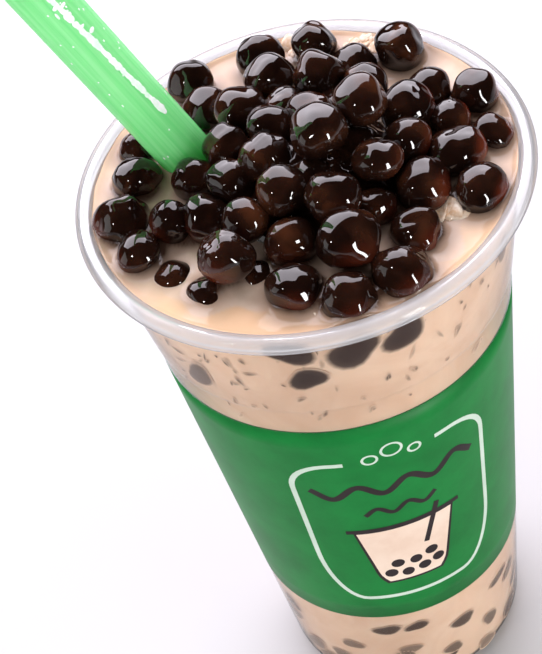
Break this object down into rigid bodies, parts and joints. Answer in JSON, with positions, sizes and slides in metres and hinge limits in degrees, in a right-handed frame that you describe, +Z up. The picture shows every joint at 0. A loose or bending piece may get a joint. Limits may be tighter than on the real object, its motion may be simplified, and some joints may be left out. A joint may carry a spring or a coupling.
{
  "type": "bubble tea in a plastic cup",
  "caption": "Milk tea in a clear tapered takeaway cup with a rolled rim, filled to the brim under a heap of glossy tapioca pearls, with a wide slanted straw.",
  "frame": {"origin": "centre of the cup's base, on the surface that it stands on", "axes": "+Z up along the cup's axis, -Y towards the viewer that faces the straw's entry on the left, +X to that viewer's right"},
  "size_m": [0.1057, 0.0954, 0.2356],
  "materials": {
    "clear_plastic": "clear thin moulded polypropylene, glossy",
    "milk_tea": "opaque milky liquid, wet",
    "tapioca": "black-brown tapioca in syrup, very glossy",
    "straw_plastic": "translucent green plastic, glossy"
  },
  "bodies": {
    "root": {"cup": "clear_plastic", "tea": "milk_tea", "straw": "straw_plastic", "pearl_heap": "tapioca", "pearl_01": "tapioca", "pearl_02": "tapioca", "pearl_03": "tapioca", "pearl_04": "tapioca", "pearl_05": "tapioca", "pearl_06": "tapioca", "pearl_07": "tapioca", "pearl_08": "tapioca", "pearl_09": "tapioca", "pearl_10": "tapioca", "pearl_11": "tapioca", "pearl_12": "tapioca", "pearl_13": "tapioca", "pearl_14": "tapioca", "pearl_15": "tapioca", "pearl_16": "tapioca", "pearl_17": "tapioca", "pearl_18": "tapioca", "pearl_19": "tapioca"}
  },
  "joints": []
}
